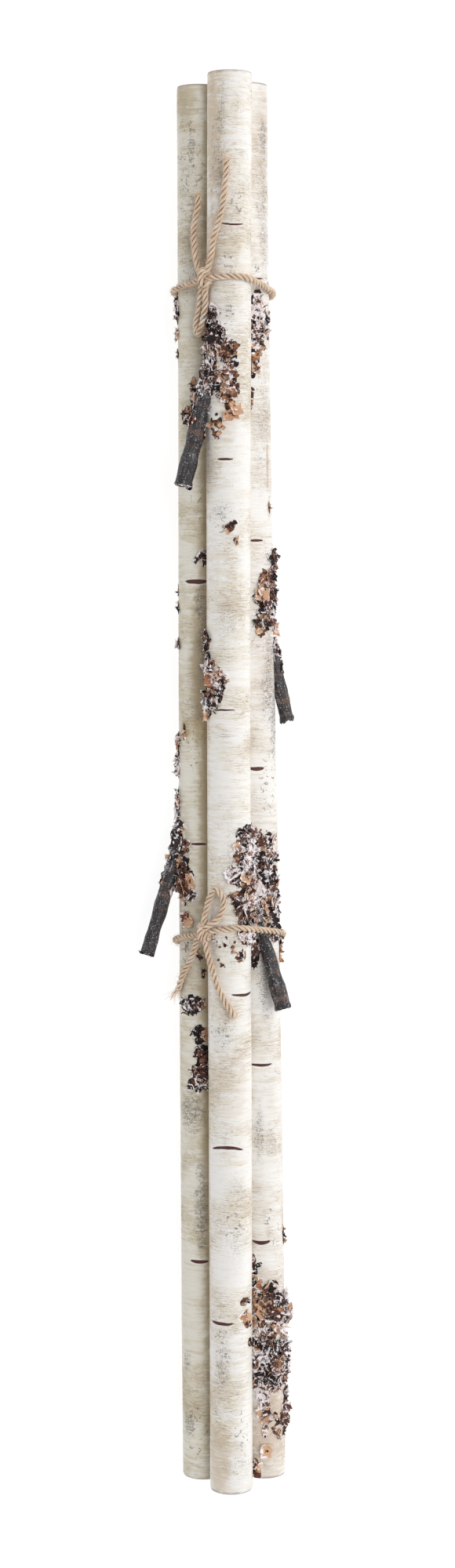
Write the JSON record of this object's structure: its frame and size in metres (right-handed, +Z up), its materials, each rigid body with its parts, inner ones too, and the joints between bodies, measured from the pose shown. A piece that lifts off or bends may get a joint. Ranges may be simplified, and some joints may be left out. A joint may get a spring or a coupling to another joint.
{
  "type": "tied bundle of birch poles",
  "caption": "Long straight white-barked birch poles lying in a bundle, tied with knotted jute twine, with short cut twigs and rough bark crusts.",
  "frame": {"origin": "centre of the underside of the whole bundle's box, on the surface that it lies on", "axes": "+Y along the poles towards their top ends, +Z up, +X to the right seen from above with the top ends ahead"},
  "size_m": [0.1336, 1.22, 0.0855],
  "materials": {
    "birch_bark": "matt white birch bark with dark slits, smudges and crusts of rough bark",
    "twig_bark": "rough dark charcoal twig bark with a greyish bloom",
    "jute_twine": "coarse hairy three-ply jute twine, undyed"
  },
  "bodies": {
    "root": {"pole_front": "birch_bark", "pole_left": "birch_bark", "pole_right": "birch_bark", "twig_front": "twig_bark", "twig_left": "twig_bark", "twig_right_upper": "twig_bark", "twig_right_lower": "twig_bark", "upper_tie": "jute_twine", "lower_tie": "jute_twine"}
  },
  "joints": []
}
